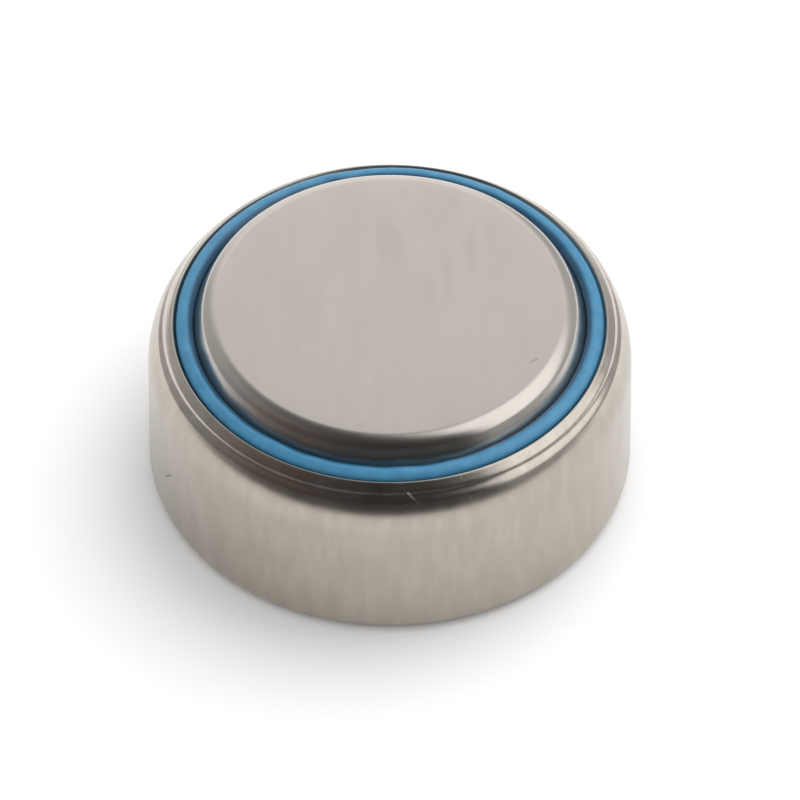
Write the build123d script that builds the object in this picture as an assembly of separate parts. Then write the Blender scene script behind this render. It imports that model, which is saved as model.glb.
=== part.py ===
from build123d import *
import math
import os

# Zinc-air button cell of the IEC PR44 size, in millimetres.
# +Z runs up the axis. The can's flat face, the positive pole, lies on z = 0, and the anode
# cap, the negative pole, is on top. Every piece but the collector mesh is turned about Z.

# Whole cell
cell_radius = 5.80
cell_height = 5.25

# Can: one drawn cup of nickel-plated steel whose mouth is crimped over the gasket
can_sheet = 0.20
can_corner_radius = 0.40
can_shoulder_z = 3.41             # where the straight wall ends
can_shoulder_radius = 1.50
crimp_lean = math.radians(37.0)   # lean of the crimped lip, from upright
crimp_top_z = 4.68                # outer corner of the can's cut edge

# Air holes through the can's flat bottom: one on the axis and a ring around it
air_hole_radius = 0.22
air_hole_ring_radius = 2.40
air_hole_ring_count = 4

# Anode cap: one pressed cup of clad sheet
cap_sheet = 0.20
cap_top_radius = 4.41             # where the flat top and the sloping side would meet
cap_top_bend = 0.40
cap_slope_lean = math.radians(26.0)   # lean of the sloping side, from upright
cap_side_radius = 4.83            # upright side, inside the gasket
cap_side_bend = 0.20
cap_neck_z = 4.24                 # foot of the upright side, where the shoulder begins
cap_shoulder_lean = math.radians(35.0)
cap_neck_bend = 0.15
cap_shoulder_bend = 0.30

# Gasket: one moulded nylon ring with a J-shaped section and a bead at the crimp
gasket_wall = 0.30
gasket_foot = 0.25
gasket_flange_width = 0.25
gasket_flange_height = 0.65       # inner flange that stands inside the cap's cut edge
bead_crest_radius = 4.95
bead_crest_z = 4.79
bead_outer_radius = 5.135         # where the bead comes down on the can's cut edge
bead_contact_z = 4.64             # where it meets the cap's sloping side

# Sheets on the can's bottom, in the order in which the air passes them
air_paper_thickness = 0.10
air_paper_radius = 5.35
membrane_thickness = 0.08
membrane_radius = 5.40
catalyst_thickness = 0.34
barrier_thickness = 0.04
absorbent_thickness = 0.10
separator_radius = 5.56

# Collector mesh: a flat welded grid of nickel wire, pressed into the catalyst
wire_width = 0.10
wire_pitch = 0.635
mesh_lift = 0.10                  # from the catalyst's lower face to the wire

# Zinc gel: the filling stops short of the cap, because the oxide needs room
gel_top_z = 4.00

# Worked out from the driving dimensions
can_bore = cell_radius - can_sheet
cap_wall_radius = can_bore - gasket_wall
cap_bore = cap_wall_radius - cap_sheet
flange_bore = cap_bore - gasket_flange_width

diffusion_z = can_sheet + air_paper_thickness
hydrophobic_z = diffusion_z + membrane_thickness
catalyst_z = hydrophobic_z + membrane_thickness
barrier_z = catalyst_z + catalyst_thickness
absorbent_z = barrier_z + barrier_thickness
foot_z = absorbent_z + absorbent_thickness
cap_edge_z = foot_z + gasket_foot
flange_top_z = foot_z + gasket_flange_height

shoulder_corner_z = can_shoulder_z + can_shoulder_radius * math.tan(crimp_lean / 2)
lip_radius = cell_radius - (crimp_top_z - shoulder_corner_z) * math.tan(crimp_lean)
cap_slope_foot_z = cell_height - (cap_side_radius - cap_top_radius) / math.tan(cap_slope_lean)
cap_shoulder_drop = (cap_wall_radius - cap_side_radius) / math.tan(cap_shoulder_lean)
bead_contact_radius = cap_top_radius + (cell_height - bead_contact_z) * math.tan(cap_slope_lean)

# Corners of each sheet's outer face, from the axis to its cut edge, and the bend at each
can_corners = [
    (0, 0),
    (cell_radius, 0),
    (cell_radius, shoulder_corner_z),
    (lip_radius, crimp_top_z),
]
can_bends = [can_corner_radius, can_shoulder_radius]

cap_corners = [
    (0, cell_height),
    (cap_top_radius, cell_height),
    (cap_side_radius, cap_slope_foot_z),
    (cap_side_radius, cap_neck_z),
    (cap_wall_radius, cap_neck_z - cap_shoulder_drop),
    (cap_wall_radius, cap_edge_z),
]
cap_bends = [cap_top_bend, cap_side_bend, cap_neck_bend, cap_shoulder_bend]


def offset_face(corners, bends, depth, side):
    """Corners and bends of the face that lies depth inside a sheet's outer face.

    side is +1 where the sheet lies to the left of its corners' direction, and -1 to the right.
    """
    points = [Vector(*corner) for corner in corners]
    runs = [(end - start).normalized() for start, end in zip(points, points[1:])]
    inward = [Vector(-side * run.Y, side * run.X) for run in runs]
    moved = [points[0] + inward[0] * depth]
    new_bends = []
    for k, bend in enumerate(bends):
        before, after = inward[k], inward[k + 1]
        moved.append(points[k + 1] + (before + after) * (depth / (1 + before.dot(after))))
        turn = side * runs[k].cross(runs[k + 1]).Z
        new_bends.append(bend - depth if turn > 0 else bend + depth)
    moved.append(points[-1] + inward[-1] * depth)
    return [(point.X, point.Y) for point in moved], new_bends


def turned(*edges):
    """Solid of revolution about Z of a closed section, drawn as radius and height."""
    section = make_face(Wire(edges))
    return revolve(Plane.XZ * section, Axis.Z)


def sheet_cup(corners, bends, thickness, side):
    """Cup of even thickness, from the corners of its outer face."""
    inner_corners, inner_bends = offset_face(corners, bends, thickness, side)
    outer = FilletPolyline(*corners, radius=bends)
    inner = FilletPolyline(*inner_corners, radius=inner_bends)
    axis_line = Line(corners[0], inner_corners[0])
    cut_edge = Line(corners[-1], inner_corners[-1])
    return turned(*outer.edges(), *inner.edges(), axis_line, cut_edge)


def disc(radius, low_z, thickness):
    """Flat round sheet that starts at the height low_z."""
    return Pos(0, 0, low_z) * extrude(Circle(radius), thickness)


def make_can():
    """Drawn and crimped cup with the air holes through its bottom."""
    can = sheet_cup(can_corners, can_bends, can_sheet, +1)
    hole = extrude(Circle(air_hole_radius), can_sheet)
    can -= hole
    for place in PolarLocations(air_hole_ring_radius, air_hole_ring_count):
        can -= place * hole
    return can


def make_cap():
    """Pressed cup with a sloping side, and a shoulder for the crimp to bear on."""
    return sheet_cup(cap_corners, cap_bends, cap_sheet, -1)


def make_gasket():
    """Ring that fills the space between can and cap, from the separator to the crimp."""
    inner_corners, inner_bends = offset_face(can_corners, can_bends, can_sheet, +1)
    shoulder_corner, mouth_corner = inner_corners[-2:]
    lip_share = (lip_radius - bead_outer_radius) / (lip_radius - mouth_corner[0])
    bead_outer_z = crimp_top_z - lip_share * (crimp_top_z - mouth_corner[1])
    bead_outer = (bead_outer_radius, bead_outer_z)
    bead_inner = (bead_contact_radius, bead_contact_z)

    outer_face = FilletPolyline(
        (can_bore, foot_z), shoulder_corner, mouth_corner, radius=inner_bends[-1:]
    )
    bead = ThreePointArc(bead_outer, (bead_crest_radius, bead_crest_z), bead_inner)
    inner_face = FilletPolyline(bead_inner, *cap_corners[2:], radius=cap_bends[1:])
    hook = Polyline(
        cap_corners[-1],
        (cap_bore, cap_edge_z),
        (cap_bore, flange_top_z),
        (flange_bore, flange_top_z),
        (flange_bore, foot_z),
        (can_bore, foot_z),
    )
    return turned(
        *outer_face.edges(),
        Line(mouth_corner, bead_outer),
        bead,
        *inner_face.edges(),
        *hook.edges(),
    )


def make_mesh():
    """Square grid of flat wires, cut round so that the wires' ends meet the can's wall."""
    wires_each_side = int(can_bore / wire_pitch)
    grid = Sketch()
    for k in range(-wires_each_side, wires_each_side + 1):
        grid += Pos(k * wire_pitch, 0) * Rectangle(wire_width, 2 * can_bore)
        grid += Pos(0, k * wire_pitch) * Rectangle(2 * can_bore, wire_width)
    grid &= Circle(can_bore)
    return Pos(0, 0, catalyst_z + mesh_lift) * extrude(grid, wire_width)


def make_gel(cap, gasket):
    """Filling between the separator and the void, shaped by the cap and the gasket."""
    middle_of_cap_wall = cap_bore + cap_sheet / 2
    return disc(middle_of_cap_wall, foot_z, gel_top_z - foot_z) - cap - gasket


can = make_can()
cap = make_cap()
gasket = make_gasket()
mesh = make_mesh()

parts = {
    "cathode_can": can,
    "gasket": gasket,
    "anode_cap": cap,
    "zinc_gel": make_gel(cap, gasket),
    "separator_absorbent": disc(separator_radius, absorbent_z, absorbent_thickness),
    "separator_barrier": disc(separator_radius, barrier_z, barrier_thickness),
    "cathode_catalyst": disc(can_bore, catalyst_z, catalyst_thickness) - mesh,
    "collector_mesh": mesh,
    "hydrophobic_membrane": disc(membrane_radius, hydrophobic_z, membrane_thickness),
    "diffusion_membrane": disc(membrane_radius, diffusion_z, membrane_thickness),
    "air_paper": disc(air_paper_radius, can_sheet, air_paper_thickness),
}

os.makedirs("parts", exist_ok=True)
for name, solid in parts.items():
    export_step(solid, f"parts/{name}.step")
    print(f"{name:22s} {solid.volume:9.3f} mm3")
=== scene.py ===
import math

import bpy
import numpy as np
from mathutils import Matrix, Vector


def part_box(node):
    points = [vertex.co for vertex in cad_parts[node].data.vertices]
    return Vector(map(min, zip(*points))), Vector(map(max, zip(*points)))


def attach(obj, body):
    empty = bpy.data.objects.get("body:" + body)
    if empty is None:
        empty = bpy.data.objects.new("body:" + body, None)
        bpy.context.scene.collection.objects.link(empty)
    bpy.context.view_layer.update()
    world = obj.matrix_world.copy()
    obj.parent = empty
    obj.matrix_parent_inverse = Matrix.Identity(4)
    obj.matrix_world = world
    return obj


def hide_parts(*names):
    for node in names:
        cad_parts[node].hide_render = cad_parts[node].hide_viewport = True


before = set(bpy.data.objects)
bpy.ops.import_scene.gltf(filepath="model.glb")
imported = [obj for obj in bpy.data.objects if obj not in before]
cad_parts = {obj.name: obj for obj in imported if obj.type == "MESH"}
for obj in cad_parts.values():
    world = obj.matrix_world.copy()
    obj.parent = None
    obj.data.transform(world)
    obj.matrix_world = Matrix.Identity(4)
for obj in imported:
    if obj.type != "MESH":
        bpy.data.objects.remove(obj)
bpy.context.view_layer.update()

mm = 0.001  # the dictionaries below are in millimetres and degrees
canLow, canHigh = (np.array(corner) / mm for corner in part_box("cathode_can"))
gasketLow = np.array(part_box("gasket")[0]) / mm
capLow, capHigh = (np.array(corner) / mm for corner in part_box("anode_cap"))
paperLow = np.array(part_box("air_paper")[0]) / mm
canRadius = canHigh[0]
print("frame: can radius", round(canRadius, 3), "cell height", round(capHigh[2], 3))


# Points along straight runs that are joined by tangent arcs: each corner is cut back by
# bend * tan(half the turn), and the arc between the two cuts is divided evenly.
def bentPath(corners, bends, runSteps, bendSteps):
    corners = np.array(corners, float)
    runs = np.diff(corners, axis=0)
    runs /= np.linalg.norm(runs, axis=1, keepdims=True)
    stretches = []
    start = corners[0]
    for k, bend in enumerate(bends):
        before, after = runs[k], runs[k + 1]
        turn = math.atan2(before[0] * after[1] - before[1] * after[0], before @ after)
        cut = bend * math.tan(abs(turn) / 2)
        arcStart = corners[k + 1] - before * cut
        side = np.array([-before[1], before[0]]) * math.copysign(1, turn)
        centre = arcStart + side * bend
        angles = np.linspace(0, abs(turn), bendSteps + 1)[:, None]
        arc = centre + bend * (before * np.sin(angles) - side * np.cos(angles))
        share = np.linspace(0, 1, runSteps + 1)[:, None]
        stretches += [start + share * (arcStart - start), arc]
        start = arc[-1]
    share = np.linspace(0, 1, runSteps + 1)[:, None]
    stretches.append(start + share * (corners[-1] - start))
    path = np.concatenate(stretches)
    keep = np.r_[True, np.linalg.norm(np.diff(path, axis=0), axis=1) > 1e-7]
    return path[keep]


# The offset face of a bent sheet: every run moves depth to its left, and every corner to
# where its two moved runs meet. A left-hand bend gets tighter by depth, a right-hand one wider.
def offsetPath(corners, bends, depth):
    corners = np.array(corners, float)
    runs = np.diff(corners, axis=0)
    runs /= np.linalg.norm(runs, axis=1, keepdims=True)
    left = np.stack([-runs[:, 1], runs[:, 0]], 1)
    middle = left[:-1] + left[1:]
    middle *= depth / (1 + (left[:-1] * left[1:]).sum(1, keepdims=True))
    moved = np.concatenate([[left[0] * depth], middle, [left[-1] * depth]]) + corners
    turns = runs[:-1, 0] * runs[1:, 1] - runs[:-1, 1] * runs[1:, 0]
    return moved, [bend - depth * math.copysign(1, turn) for bend, turn in zip(bends, turns)]


# Surface of revolution: the profile's (radius, height) points, carried round the axis.
# wobble, if given, changes radius and height with the azimuth.
def turnedGrid(profile, azimuths, wobble=None):
    radius = np.repeat(profile[:, :1], len(azimuths), 1)
    height = np.repeat(profile[:, 1:], len(azimuths), 1)
    angle = np.repeat(azimuths[None, :], len(profile), 0)
    if wobble:
        radius, height = wobble(radius, height, angle)
    return np.stack([radius * np.cos(angle), radius * np.sin(angle), height], 2)


# Evenly spaced azimuths, from the one corner of a square to the next and all the way round
def evenAzimuths(count):
    return -math.pi / 4 + 2 * math.pi * np.arange(count) / count


# Points round a square of the given half side, evenly spaced and starting at one corner:
# each side is the first one turned by a quarter.
def squarePoints(halfSide, perSide):
    along = -1 + 2 * np.arange(perSide) / perSide
    side = np.stack([np.ones(perSide), along], 1) * halfSide
    turn = np.array([[0, -1], [1, 0]])
    sides = [side]
    for _ in range(3):
        sides.append(sides[-1] @ turn.T)
    return np.concatenate(sides)


# Flat grid between two closed outlines with as many points: straight lines from one to the
# other, where shares says how far along each row lies.
def blendGrid(inner, outer, height, shares):
    flat = inner[None] + shares[:, None, None] * (outer - inner)[None]
    return np.concatenate([flat, np.full((*flat.shape[:2], 1), height)], 2)


# One mesh from several closed grids: neighbouring points make quads, points that coincide
# become one, and a quad that loses a side becomes a triangle.
def meshPiece(name, grids, flips, node):
    points, quads, count = [], [], 0
    for grid, flip in zip(grids, flips):
        rows, columns = grid.shape[:2]
        index = count + np.arange(rows * columns).reshape(rows, columns)
        nextColumn = np.roll(index, -1, 1)
        quad = np.stack([index[:-1], nextColumn[:-1], nextColumn[1:], index[1:]], 2).reshape(-1, 4)
        quads.append(quad[:, ::-1] if flip else quad)
        points.append(grid.reshape(-1, 3))
        count += rows * columns
    points = np.concatenate(points)
    quads = np.concatenate(quads)
    weldStep = 2e-5
    weldShift = 0.37  # keeps round coordinates away from the rounding's limits
    keys = np.round(points / weldStep + weldShift).astype(np.int64)
    _, first, inverse = np.unique(keys, axis=0, return_index=True, return_inverse=True)
    points = points[first]
    quads = inverse.reshape(-1)[quads]
    sides = quads != np.roll(quads, 1, 1)
    corners = sides.sum(1)
    faces = quads[corners == 4].tolist()
    faces += [face[keep].tolist() for face, keep in zip(quads[corners == 3], sides[corners == 3])]
    mesh = bpy.data.meshes.new(name)
    mesh.from_pydata((points * mm).tolist(), [], faces)
    mesh.validate()
    mesh.shade_smooth()
    piece = bpy.data.objects.new(name, mesh)
    bpy.context.scene.collection.objects.link(piece)
    if node:
        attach(piece, "root")
        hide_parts(node)
    print("piece:", name, len(points), "points", len(faces), "faces")
    return piece


# Smooth uneven wave round a ring: a sum of sines whose whole numbers of turns lie between
# the two given, with seeded phases, so that it closes on itself. Its spread is about 1.
def ringNoise(azimuth, fewest, most, seed):
    draw = np.random.default_rng(seed)
    total = np.zeros_like(azimuth)
    for turns in range(fewest, most + 1):
        total += draw.normal() * np.sin(turns * azimuth + draw.uniform(0, 2 * math.pi))
    return total / math.sqrt((most - fewest + 1) / 2)


# Smooth step from 0 at low to 1 at high: 3 t^2 - 2 t^3
def smoothStep(low, high, value):
    t = np.clip((value - low) / (high - low), 0, 1)
    return t * t * (3 - 2 * t)


# One output socket of a node tree. Sums, differences and products of it add Math nodes.
class Signal:
    def __init__(self, tree, socket=None):
        self.tree = tree
        self.socket = socket

    # Any node: its type, its settings, its sockets' values or links, and the output wanted
    def add(self, kind, settings=None, inputs=None, out=0):
        node = self.tree.nodes.new(kind)
        for key, value in (settings or {}).items():
            setattr(node, key, value)
        for key, value in (inputs or {}).items():
            if isinstance(value, Signal):
                self.tree.links.new(value.socket, node.inputs[key])
            else:
                node.inputs[key].default_value = value
        return Signal(self.tree, node.outputs[out]) if node.outputs else node

    def maths(self, operation, *values, clamp=False):
        settings = {"operation": operation, "use_clamp": clamp}
        return self.add("ShaderNodeMath", settings, dict(enumerate(values)))

    def __add__(self, other):
        return self.maths("ADD", self, other)

    def __sub__(self, other):
        return self.maths("SUBTRACT", self, other)

    def __mul__(self, other):
        return self.maths("MULTIPLY", self, other)

    def __radd__(self, other):
        return self.maths("ADD", other, self)

    def __rsub__(self, other):
        return self.maths("SUBTRACT", other, self)

    def __rmul__(self, other):
        return self.maths("MULTIPLY", other, self)

    def root(self):
        return self.maths("SQRT", self)

    def clamped(self):
        return self.maths("ADD", self, 0.0, clamp=True)

    # 0 below low, 1 above high, and smooth between
    def step(self, low, high):
        settings = {"interpolation_type": "SMOOTHSTEP"}
        return self.add("ShaderNodeMapRange", settings, {0: self, 1: low, 2: high, 3: 0.0, 4: 1.0})

    # The colour at share 0, and the other at share 1
    def blend(self, colour, other):
        inputs = {0: self, 6: colour, 7: other}
        return self.add("ShaderNodeMix", {"data_type": "RGBA"}, inputs, out=2)

    def noise(self, place, scale, detail=2.0, roughness=0.5):
        inputs = {"Vector": place, "Scale": scale, "Detail": detail, "Roughness": roughness}
        return self.add("ShaderNodeTexNoise", None, inputs)

    def axes(self):
        return [self.add("ShaderNodeSeparateXYZ", None, {0: self}, out=k) for k in range(3)]


# A new material, its start signal and its place in millimetres
def startMaterial(name):
    material = bpy.data.materials.new(name)
    material.use_nodes = True
    tree = material.node_tree
    tree.nodes.clear()
    start = Signal(tree)
    place = start.add("ShaderNodeTexCoord", None, None, out="Object")
    scaled = {"Vector": place, "Scale": (1 / mm, 1 / mm, 1 / mm)}
    place = start.add("ShaderNodeMapping", None, scaled)
    return material, start, place


def finishMaterial(material, start, constants, varying):
    surface = start.add("ShaderNodeBsdfPrincipled", None, {**constants, **varying})
    start.add("ShaderNodeOutputMaterial", None, {"Surface": surface})
    return material


def rgb(colour):
    return (*colour, 1.0)


# Place stretched along one axis, so that a pattern on it runs in streaks
def stretched(start, place, scale, turn=0.0):
    inputs = {"Vector": place, "Scale": scale, "Rotation": (0, 0, math.radians(turn))}
    return start.add("ShaderNodeMapping", None, inputs)


# 1 on a straight mark between two points and 0 past its half width: the distance to the
# nearest point of the segment, which is the place minus the line's clamped share of it.
def markMask(start, place, first, last, halfWidth):
    first, last = np.array(first), np.array(last)
    along = last - first
    away = start.add("ShaderNodeVectorMath", {"operation": "SUBTRACT"}, {0: place, 1: tuple(first)})
    inputs = {0: away, 1: tuple(along / (along @ along))}
    share = start.add("ShaderNodeVectorMath", {"operation": "DOT_PRODUCT"}, inputs, out="Value")
    share = share.clamped()
    inputs = {0: tuple(along), "Scale": share}
    nearest = start.add("ShaderNodeVectorMath", {"operation": "SCALE"}, inputs)
    inputs = {0: away, 1: nearest}
    distance = start.add("ShaderNodeVectorMath", {"operation": "DISTANCE"}, inputs, out="Value")
    return 1 - distance.step(halfWidth * 0.3, halfWidth)


can = {
    "sheet": paperLow[2] - canLow[2],
    "cornerRadius": 0.40,
    "lipRadius": 5.2207,
    "lipSteps": [0, 0.06, 0.10, 0.18, 0.24, 0.28, 0.32, 0.36, 0.40, 0.44, 0.48, 0.53, 0.58, 0.66],
    "lipSlopes": [51, 48, 45, 44, 38, 24, 25, 37, 46, 48, 43, 32, 26, 25],
    "edgeRound": 0.04,
    "holeRadius": 0.22,
    "holeRound": 0.03,
    "holeRing": 2.40,
    "columnsPerSide": 28,
    "shoulderTilt": 0.035,  # the crimp sits a little higher on one side
    "shoulderTiltTo": 0.0,
    "lipWander": 0.014,  # and the two tool ledges wander up and down
    "lipPoints": 111,
    "edgeStart": 10,  # points of the lip that the rounding of its edge takes up
}


# Outer face of the crimped lip, from the cut edge down: its slope, which is how far its
# normal stands above the horizon, is added up step by step along its length. Below the
# last step an arc carries it to the upright wall.
def lipProfile():
    along = np.linspace(0, can["lipSteps"][-1], can["lipPoints"])
    slope = np.radians(np.interp(along, can["lipSteps"], can["lipSlopes"]))
    middle = (slope[1:] + slope[:-1]) / 2
    step = along[1] - along[0]
    radius = can["lipRadius"] + np.r_[0, np.cumsum(np.sin(middle))] * step
    height = canHigh[2] - np.r_[0, np.cumsum(np.cos(middle))] * step
    arcRadius = (canRadius - radius[-1]) / (1 - math.cos(slope[-1]))
    turn = np.linspace(slope[-1], 0, 40)[1:]
    centre = (canRadius - arcRadius, height[-1] - arcRadius * math.sin(slope[-1]))
    radius = np.r_[radius, centre[0] + arcRadius * np.cos(turn)]
    height = np.r_[height, centre[1] + arcRadius * np.sin(turn)]
    return np.stack([radius, height], 1)


# The face a sheet's thickness inside a profile: each point moves along the normal there
def innerFace(profile, depth):
    run = np.gradient(profile, axis=0)
    run /= np.linalg.norm(run, axis=1, keepdims=True)
    return profile + depth * np.stack([run[:, 1], -run[:, 0]], 1)


# The shoulder and the ledges rise and fall a little with the azimuth, fading to nothing at
# the cut edge and on the wall.
def canWobble(radius, height, azimuth):
    below = smoothStep(0.02, 0.25, canHigh[2] - height)
    onShoulder = smoothStep(2.9, 3.8, height) * below
    lift = can["shoulderTilt"] * np.cos(azimuth - math.radians(can["shoulderTiltTo"]))
    lift += can["lipWander"] * ringNoise(azimuth, 1, 6, 11)
    height = height + lift * onShoulder
    return radius, height


# Closed cup: the outer and inner face of the bent sheet with a rounded cut edge between
# them, and a bottom of square cells, each with a round hole or none, inside a round plate.
def makeCan():
    perSide = can["columnsPerSide"]
    sheet = can["sheet"]
    outer = lipProfile()
    inner = innerFace(outer, sheet)
    corner = [(canRadius - can["cornerRadius"] - 0.1, 0), (canRadius, 0), tuple(outer[-1])]
    bottomInner, bendInner = offsetPath(corner, [can["cornerRadius"]], sheet)
    inner[-1] = bottomInner[-1]
    edgeStart = can["edgeStart"]
    edge = [outer[edgeStart], outer[0], inner[0], inner[edgeStart]]
    profile = np.concatenate([
        bentPath(corner, [can["cornerRadius"]], 10, 12),
        outer[-2:edgeStart:-1],
        bentPath(edge, [can["edgeRound"]] * 2, 2, 8),
        inner[edgeStart + 1:-1:4],  # hidden against the gasket, so a quarter of the rows
        bentPath(bottomInner[::-1], bendInner, 4, 6),
    ])
    azimuths = evenAzimuths(12 * perSide)
    grids = [turnedGrid(profile, azimuths, canWobble)]
    flips = [False]

    cell = can["holeRing"] / 2
    holeEdge = can["holeRadius"] + can["holeRound"] + 0.01
    throat = [(holeEdge, sheet), (can["holeRadius"], sheet), (can["holeRadius"], 0), (holeEdge, 0)]
    throatProfile = bentPath(throat, [can["holeRound"]] * 2, 1, 4)
    holeAzimuths = evenAzimuths(4 * perSide)
    circle = np.stack([np.cos(holeAzimuths), np.sin(holeAzimuths)], 1)
    square = squarePoints(cell, perSide)
    plate = squarePoints(3 * cell, 3 * perSide)
    ring = np.stack([np.cos(azimuths), np.sin(azimuths)], 1)
    shares = np.linspace(0, 1, 3)
    for height, rim, flip in ((0.0, profile[0][0], False), (sheet, profile[-1][0], True)):
        grids.append(blendGrid(plate, ring * rim, height, shares))
        flips.append(flip)
        for column in (-1, 0, 1):
            for row in (-1, 0, 1):
                centre = np.array([column, row]) * can["holeRing"]
                holed = column == 0 or row == 0
                inside = circle * holeEdge if holed else circle * 0
                grids.append(blendGrid(inside + centre, square + centre, height, shares))
                flips.append(flip)
                if holed and flip:
                    hole = turnedGrid(throatProfile, holeAzimuths)
                    hole[:, :, :2] += centre
                    grids.append(hole)
                    flips.append(False)
    return meshPiece("can", grids, flips, "cathode_can")


cap = {
    "sheet": 0.20,
    "topRadius": 4.41,  # where the flat top and the sloping side would meet
    "topBend": 0.40,
    "slopeLean": 26.0,
    "sideRadius": 4.83,
    "sideBend": 0.20,
    "neckZ": 4.24,
    "shoulderLean": 35.0,
    "neckBend": 0.15,
    "shoulderBend": 0.30,
    "columns": 480,
}


# Corners of the cap's outer face from the middle of its top to its cut edge
def capCorners():
    wallRadius = capHigh[0]
    slopeDrop = (cap["sideRadius"] - cap["topRadius"]) / math.tan(math.radians(cap["slopeLean"]))
    neckDrop = (wallRadius - cap["sideRadius"]) / math.tan(math.radians(cap["shoulderLean"]))
    return [
        (0, capHigh[2]),
        (cap["topRadius"], capHigh[2]),
        (cap["sideRadius"], capHigh[2] - slopeDrop),
        (cap["sideRadius"], cap["neckZ"]),
        (wallRadius, cap["neckZ"] - neckDrop),
        (wallRadius, capLow[2]),
    ]


# Closed cup: the outer face from the middle of the top to the cut edge, and the inner face back
def makeCap():
    corners = capCorners()
    bends = [cap["topBend"], cap["sideBend"], cap["neckBend"], cap["shoulderBend"]]
    inner, innerBends = offsetPath(corners, bends, -cap["sheet"])
    outerFace = bentPath(corners, bends, 10, 24)
    innerPath = bentPath(inner, innerBends, 4, 8)
    profile = np.concatenate([outerFace, innerPath[::-1]])
    grid = turnedGrid(profile, evenAzimuths(cap["columns"]))
    return meshPiece("cap", [grid], [True], "anode_cap")


gasket = {
    "contactZ": 4.64,  # where the bead meets the cap's sloping side
    "crestRadius": 4.95,
    "crestZ": 4.79,
    "outerRadius": 5.135,
    "flangeWidth": 0.25,
    "flangeHeight": 0.65,
    "columns": 600,
    "crestWobble": 0.008,
    "edgeWobble": 0.008,
}


# The bead's crest and edges swell and shrink a little round the ring, and the outer face
# follows the can's uneven shoulder.
def gasketWobble(radius, height, azimuth):
    onBead = smoothStep(gasket["crestZ"] - 0.12, gasket["crestZ"], height)
    lifted = canWobble(radius, height, azimuth)[1]
    height = height + (lifted - height) * smoothStep(5.0, 5.3, radius)
    radius = radius + onBead * gasket["edgeWobble"] * ringNoise(azimuth, 5, 60, 21)
    height = height + onBead * gasket["crestWobble"] * (ringNoise(azimuth, 3, 40, 22) - 1)
    return radius, height


# Closed ring: the face against the can, the bead, the face against the cap and the hook
def makeGasket():
    outer = lipProfile()
    canFace = innerFace(outer, can["sheet"])[::-1]
    mouth, edge = canFace[-1], outer[0]
    canFace = np.concatenate([[[canFace[0][0], gasketLow[2]]], canFace[:-1:3]])
    share = (edge[0] - gasket["outerRadius"]) / (edge[0] - mouth[0])
    beadOuter = edge + share * (mouth - edge)
    corners = capCorners()
    contactDrop = capHigh[2] - gasket["contactZ"]
    contactRadius = cap["topRadius"] + contactDrop * math.tan(math.radians(cap["slopeLean"]))
    contact = (contactRadius, gasket["contactZ"])
    bead = arcThrough(beadOuter, (gasket["crestRadius"], gasket["crestZ"]), contact, 28)
    capFace = [contact, *corners[2:]]
    wallRadius = capHigh[0]
    bore = wallRadius - cap["sheet"]
    flangeBore = bore - gasket["flangeWidth"]
    flangeTop = gasketLow[2] + gasket["flangeHeight"]
    hook = [(bore, capLow[2]), (bore, flangeTop), (flangeBore, flangeTop), (flangeBore, gasketLow[2])]
    profile = np.concatenate([
        canFace,
        bead,
        bentPath(capFace, [cap["sideBend"], cap["neckBend"], cap["shoulderBend"]], 4, 6)[1:],
        hook,
        canFace[:1],
    ])
    grid = turnedGrid(profile, evenAzimuths(gasket["columns"]), gasketWobble)
    return meshPiece("gasket_ring", [grid], [False], "gasket")


# Arc from the first point through the second to the third, about the centre that is
# equally far from all three
def arcThrough(first, middle, last, steps):
    first, middle, last = (np.array(point, float) for point in (first, middle, last))
    chords = 2 * np.stack([middle - first, last - first])
    squares = np.array([middle @ middle - first @ first, last @ last - first @ first])
    centre = np.linalg.solve(chords, squares)
    angles = [math.atan2(*(point - centre)[::-1]) for point in (first, last)]
    sweep = np.linspace(angles[0], angles[1], steps + 1)
    return centre + np.linalg.norm(first - centre) * np.stack([np.cos(sweep), np.sin(sweep)], 1)


canFinish = {
    "colour": (0.64, 0.59, 0.525),
    "streakColour": (0.50, 0.455, 0.40),
    "wallShadeColour": (0.385, 0.345, 0.295),  # painted shade: the side wall darker, for the shadowed table it mirrors
    "wallShadeShare": 0.70,
    "blotches": (2.8, 2.8, 0.8),
    "blotchSpread": 0.16,
    "wallShadeTop": (3.9, 4.45),
    "roughness": 0.24,
    "roughnessSpread": 0.10,
    "streaks": (2.6, 2.6, 0.55),
    "grainHeight": 0.0006,
    "edgeColour": (0.36, 0.34, 0.32),  # bare steel on the sheared edge
    "marks": [
        {"first": (-5.244, -2.479, 1.96), "last": (-5.381, -2.163, 1.57), "halfWidth": 0.035, "depth": 0.6},
        {"first": (0.434, -5.393, 4.47), "last": (0.687, -5.517, 4.25), "halfWidth": 0.04, "depth": -0.25},
    ],
}

capFinish = {
    "colour": (0.655, 0.61, 0.56),
    "streakColour": (0.61, 0.567, 0.52),
    "roughness": 0.24,
    "roughnessSpread": 0.06,
    "streaks": (1.6, 0.35, 1.0),
    "smear": {  # faint finger marks, a little to the back of the middle
        "centre": (0.9, 1.9, 5.25),
        "reach": (1.0, 2.4),
        "streaks": (2.4, 0.7, 1.0),
        "turn": 14.0,
        "strength": 0.5,
        "colour": (0.56, 0.52, 0.48),
    },
    "grainHeight": 0.0004,
    "marks": [
        {"first": (3.36, -1.86, 5.25), "last": (3.50, -1.76, 5.25), "halfWidth": 0.035, "depth": 0.35},
    ],
}
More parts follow.
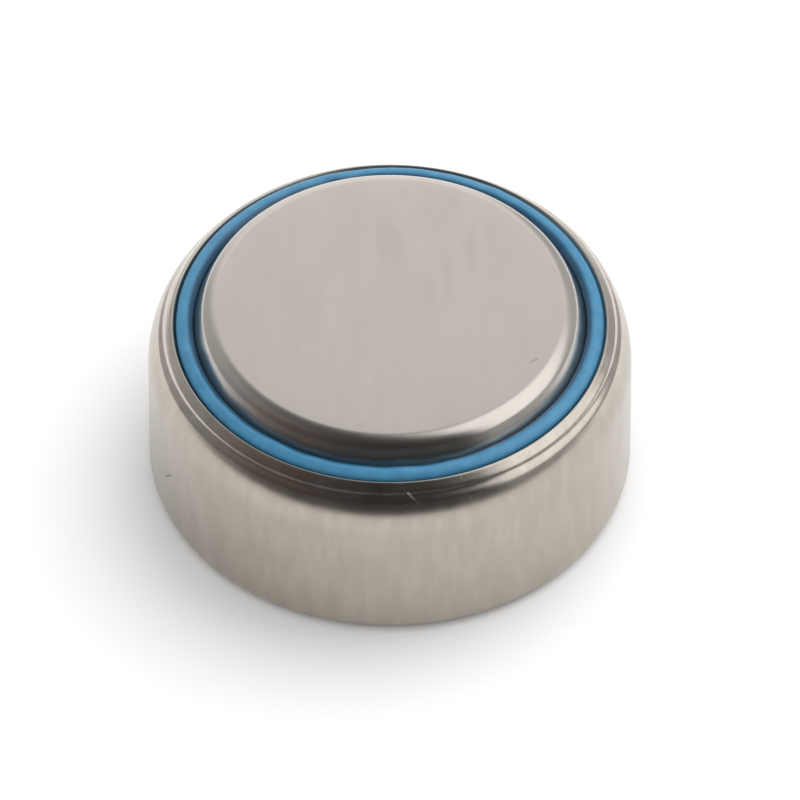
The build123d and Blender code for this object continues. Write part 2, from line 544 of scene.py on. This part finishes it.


# Satin nickel plate: long soft streaks and small mottling in colour and gloss, fine grain
# as bump, and the listed marks, dark where depth is above 0 and light below. A finish may
# also have smears, or painted shade darkening a blotched wall, and a bare cut edge.
def nickelMaterial(name, finish):
    material, start, place = startMaterial(name)
    long = start.noise(stretched(start, place, finish["streaks"], 12), 1.0, 4.0, 0.6)
    mottle = start.noise(place, 1.3, 3.0, 0.55)
    grain = start.noise(stretched(start, place, finish["streaks"], 12), 9.0, 2.0, 0.6)
    speck = start.noise(place, 28.0, 2.0, 0.6)
    share = (long - 0.5) * 1.6 + (mottle - 0.5) * 0.8 + 0.5
    share = share.clamped()
    colour = share.blend(rgb(finish["streakColour"]), rgb(finish["colour"]))
    roughness = finish["roughness"] + (grain - 0.5) * finish["roughnessSpread"]
    roughness = roughness + (mottle - 0.5) * finish["roughnessSpread"]
    if "smear" in finish:
        smear = finish["smear"]
        inputs = {0: place, 1: smear["centre"]}
        away = start.add("ShaderNodeVectorMath", {"operation": "DISTANCE"}, inputs, out="Value")
        smudge = start.noise(stretched(start, place, smear["streaks"], smear["turn"]), 1.0, 1.0, 0.4)
        smudge = smudge.step(0.40, 0.75) * (1 - away.step(*smear["reach"]))
        colour = (smudge * smear["strength"]).blend(colour, rgb(smear["colour"]))
    if "edgeColour" in finish:
        x, y, z = place.axes()
        blotch = start.noise(stretched(start, place, finish["blotches"]), 1.0, 2.0, 0.5)
        wallShadeShare = finish["wallShadeShare"] + (blotch.step(0.35, 0.65) - 0.5) * finish["blotchSpread"]
        # painted shade: below the top of the wall the colour goes darker, standing in for the dim shadowed
        # table the wall mirrors
        onWallShade = (1 - z.step(*finish["wallShadeTop"])) * wallShadeShare
        colour = onWallShade.blend(colour, rgb(finish["wallShadeColour"]))
        radius = (x * x + y * y).root()
        sheared = (1 - radius.step(can["lipRadius"] - 0.035, can["lipRadius"] - 0.01)) * z.step(4.45, 4.5)
        colour = sheared.blend(colour, rgb(finish["edgeColour"]))
        roughness = roughness + sheared * 0.15
    height = (grain * 0.6 + speck * 0.4) * finish["grainHeight"]
    for mark in finish["marks"]:
        mask = markMask(start, place, mark["first"], mark["last"], mark["halfWidth"])
        tone = 0.12 if mark["depth"] > 0 else 0.85
        shade = mask * abs(mark["depth"])
        colour = shade.blend(colour, rgb((tone, tone, tone)))
        roughness = roughness + mask * 0.2
        height = height - mask * 0.002
    inputs = {"Height": height, "Distance": mm, "Strength": 1.0}
    normal = start.add("ShaderNodeBump", None, inputs)
    constants = {"Metallic": 1.0}
    varying = {"Base Color": colour, "Roughness": roughness, "Normal": normal}
    return finishMaterial(material, start, constants, varying)


nylon = {
    "colour": (0.046, 0.222, 0.385),
    "deepColour": (0.036, 0.190, 0.340),
    "grooveShadeColour": (0.012, 0.075, 0.15),  # painted shade down beside the cap, where the groove lies in shadow
    "grooveShadeRadii": (4.79, 4.90),
    "roughness": 0.34,
    "height": 0.004,
}


# Moulded nylon: small swells and faint flow marks round the ring, and painted shade darkening the groove
# beside the cap
def nylonMaterial():
    material, start, place = startMaterial("blueNylon")
    swell = start.noise(place, 3.0, 3.0, 0.55)
    fine = start.noise(place, 16.0, 2.0, 0.6)
    colour = swell.step(0.3, 0.7).blend(rgb(nylon["deepColour"]), rgb(nylon["colour"]))
    x, y, z = place.axes()
    # painted shade: inside the groove radii the blue turns dark, where the bead meets the cap in shadow
    inGrooveShade = 1 - (x * x + y * y).root().step(*nylon["grooveShadeRadii"])
    colour = inGrooveShade.blend(colour, rgb(nylon["grooveShadeColour"]))
    roughness = nylon["roughness"] + (fine - 0.5) * 0.2
    inputs = {"Height": (swell * 0.7 + fine * 0.3) * nylon["height"], "Distance": mm}
    normal = start.add("ShaderNodeBump", None, inputs)
    constants = {"IOR": 1.53}
    varying = {"Base Color": colour, "Roughness": roughness, "Normal": normal}
    return finishMaterial(material, start, constants, varying)


# The sealed pieces: base and second colour, roughness, size of the pattern per millimetre,
# its height, and whether it is metal
innerFinishes = {
    "zinc_gel": {
        "colours": [(0.20, 0.21, 0.23), (0.42, 0.43, 0.45)],
        "roughness": 0.55, "grain": 14, "height": 0.02,
    },
    "separator_absorbent": {
        "colours": [(0.78, 0.77, 0.71), (0.90, 0.89, 0.85)],
        "roughness": 0.85, "grain": 9, "height": 0.008,
    },
    "separator_barrier": {
        "colours": [(0.70, 0.73, 0.76), (0.80, 0.82, 0.84)],
        "roughness": 0.30, "grain": 2, "height": 0.001,
    },
    "cathode_catalyst": {
        "colours": [(0.015, 0.015, 0.016), (0.05, 0.05, 0.052)],
        "roughness": 0.75, "grain": 20, "height": 0.01,
    },
    "collector_mesh": {
        "colours": [(0.50, 0.47, 0.42), (0.64, 0.60, 0.54)],
        "roughness": 0.32, "grain": 12, "height": 0.001, "metal": 1.0,
    },
    "hydrophobic_membrane": {
        "colours": [(0.82, 0.82, 0.82), (0.90, 0.90, 0.90)],
        "roughness": 0.60, "grain": 25, "height": 0.002,
    },
    "diffusion_membrane": {
        "colours": [(0.80, 0.81, 0.82), (0.89, 0.90, 0.90)],
        "roughness": 0.60, "grain": 25, "height": 0.002,
    },
    "air_paper": {
        "colours": [(0.70, 0.69, 0.64), (0.86, 0.85, 0.80)],
        "roughness": 0.90, "grain": 7, "height": 0.010,
    },
}


def innerMaterial(node, finish):
    material, start, place = startMaterial(node + "_finish")
    pattern = start.noise(place, float(finish["grain"]), 4.0, 0.6)
    broad = start.noise(place, 0.8, 2.0, 0.5)
    low, high = finish["colours"]
    colour = (pattern * 0.7 + broad * 0.3).step(0.35, 0.65).blend(rgb(low), rgb(high))
    inputs = {"Height": pattern * finish["height"], "Distance": mm}
    normal = start.add("ShaderNodeBump", None, inputs)
    constants = {"Metallic": finish.get("metal", 0.0)}
    varying = {
        "Base Color": colour,
        "Roughness": finish["roughness"] + (broad - 0.5) * 0.15,
        "Normal": normal,
    }
    return finishMaterial(material, start, constants, varying)


def paint(thing, material):
    thing.data.materials.clear()
    thing.data.materials.append(material)


studio = {
    "tentRadius": 250.0,
    "nearRadius": 30.0,  # the tent's foot, where the table ends for anything mirrored
    "floorRadius": 400.0,
    "floorColour": (0.95, 0.95, 0.95),
    "frontLevel": 0.036,
    "sideLevel": 0.48,
    "topShare": 0.22,
    "backLevel": 0.55,
    "boxLevel": 1.34,
    "warmLevel": 0.035,
    "warmth": (1.0, 0.84, 0.80),  # tint of what stands to the left of the camera
    "worldLevel": 0.90,
    "keyDirection": (44.0, 52.0),
    "keyDistance": 160.0,
    "keySize": 210.0,
    "keyPower": 0.17,
}

camera = {
    "elevation": 46.95,
    "distance": 400.0,
    "aim": (0.242, 0.0, 1.94),
    "lens": 747.8,
    "sensor": 36.0,
}


def direction(azimuth, elevation):
    a, e = math.radians(azimuth), math.radians(elevation)
    return np.array([math.cos(a) * math.cos(e), math.sin(a) * math.cos(e), math.sin(e)])


# How far a direction lies on the side of a plane through the centre that its normal points to
def sideOf(start, way, azimuth, elevation):
    inputs = {0: way, 1: tuple(direction(azimuth, elevation))}
    return start.add("ShaderNodeVectorMath", {"operation": "DOT_PRODUCT"}, inputs, out="Value")


# Half sphere with a nearer foot that only gloss and mirrors see. Its brightness is a
# function of direction: dark in front, paler round the sides, a pale wall behind, and one
# big soft box at the right, which is the part of the sky inside five planes.
def makeTent():
    elevations = np.radians([-0.5, 3, 4, *np.linspace(5, 90, 30)])
    reach = np.where(elevations < math.radians(3.5), studio["nearRadius"], studio["tentRadius"])
    profile = reach[:, None] * np.stack([np.cos(elevations), np.sin(elevations)], 1)
    tent = meshPiece("tent", [turnedGrid(profile, evenAzimuths(96))], [True], None)
    material = bpy.data.materials.new("tentLight")
    material.use_nodes = True
    material.node_tree.nodes.clear()
    start = Signal(material.node_tree)
    place = start.add("ShaderNodeTexCoord", None, None, out="Object")
    way = start.add("ShaderNodeVectorMath", {"operation": "NORMALIZE"}, {0: place})
    x, y, z = way.axes()
    sides = y.step(-0.8, 0.75) * studio["sideLevel"] * (1 - z.step(0.62, 1.0) * (1 - studio["topShare"]))
    back = sideOf(start, way, 166, 0).step(-0.06, 0.06) * sideOf(start, way, 30, 0).step(-0.25, 0.35)
    back = back * (1 - z.step(0.66, 0.92)) * studio["backLevel"]
    box = sideOf(start, way, 48, 0).step(-0.05, 0.08) * sideOf(start, way, -12, 0).step(-0.06, 0.06)
    box = box * sideOf(start, way, -90, 41).step(-0.10, 0.10) * z.step(0.02, 0.2)
    box = box * sideOf(start, way, 22, -9).step(-0.04, 0.06)
    warm = sideOf(start, way, -142, 25).step(0.80, 0.97)
    around = sides + back + warm * studio["warmLevel"] + studio["frontLevel"]
    level = around * (1 - box) + box * studio["boxLevel"]
    tint = warm.blend((1, 1, 1, 1), rgb(studio["warmth"]))
    shown = start.add("ShaderNodeVectorMath", {"operation": "SCALE"}, {0: tint, "Scale": level})
    light = start.add("ShaderNodeEmission", None, {"Color": shown})
    start.add("ShaderNodeOutputMaterial", None, {"Surface": light})
    paint(tent, material)
    tent.visible_camera = False
    tent.visible_diffuse = False
    tent.visible_shadow = False
    return tent


def makeFloor():
    radii = studio["floorRadius"] * np.linspace(0, 1, 24) ** 2
    profile = np.stack([radii, np.zeros(24)], 1)
    floor = meshPiece("floor", [turnedGrid(profile, evenAzimuths(96))], [False], None)
    material, start, place = startMaterial("paleTable")
    grain = start.noise(place, 0.6, 3.0, 0.5)
    low = tuple(0.985 * share for share in studio["floorColour"])
    colour = grain.blend(rgb(low), rgb(studio["floorColour"]))
    constants = {"Roughness": 0.9, "Specular IOR Level": 0.2}
    paint(floor, finishMaterial(material, start, constants, {"Base Color": colour}))
    return floor


def addLamp(name, azimuth, elevation, distance, size, power):
    light = bpy.data.lights.new(name, "AREA")
    light.shape = "DISK"
    light.size = size * mm
    light.energy = power
    lamp = bpy.data.objects.new(name, light)
    bpy.context.scene.collection.objects.link(lamp)
    away = direction(azimuth, elevation)
    lamp.location = away * distance * mm
    lamp.rotation_euler = Vector(away).to_track_quat("Z", "Y").to_euler()
    lamp.visible_camera = False
    lamp.visible_glossy = False
    return lamp


def makeStudio():
    makeTent()
    makeFloor()
    azimuth, elevation = studio["keyDirection"]
    addLamp("keyLamp", azimuth, elevation, studio["keyDistance"], studio["keySize"], studio["keyPower"])
    world = bpy.data.worlds.new("studioWorld")
    bpy.context.scene.world = world
    world.use_nodes = True
    start = Signal(world.node_tree)
    kinds = ("Is Camera Ray", "Is Glossy Ray", "Is Transmission Ray")
    rays = [start.add("ShaderNodeLightPath", None, None, out=kind) for kind in kinds]
    seen = rays[0].maths("MAXIMUM", rays[0], rays[1].maths("MAXIMUM", rays[1], rays[2]))
    level = studio["worldLevel"] + seen * (1 - studio["worldLevel"])
    background = world.node_tree.nodes["Background"]
    background.inputs["Color"].default_value = (1, 1, 1, 1)
    world.node_tree.links.new(level.socket, background.inputs["Strength"])
    bpy.context.scene.view_settings.view_transform = "Standard"


def makeCamera():
    lens = bpy.data.cameras.new("camera")
    lens.lens = camera["lens"]
    lens.sensor_width = camera["sensor"]
    lens.clip_start = 0.01
    lens.clip_end = 3.0
    eye = bpy.data.objects.new("camera", lens)
    bpy.context.scene.collection.objects.link(eye)
    away = direction(-90.0, camera["elevation"])
    eye.location = (np.array(camera["aim"]) + away * camera["distance"]) * mm
    eye.rotation_euler = Vector(away).to_track_quat("Z", "Y").to_euler()
    bpy.context.scene.camera = eye


makeCamera()
paint(makeCan(), nickelMaterial("canNickel", canFinish))
paint(makeCap(), nickelMaterial("capNickel", capFinish))
paint(makeGasket(), nylonMaterial())
for node, finish in innerFinishes.items():
    paint(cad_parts[node], innerMaterial(node, finish))
print("materials: done")
makeStudio()
print("studio: done")
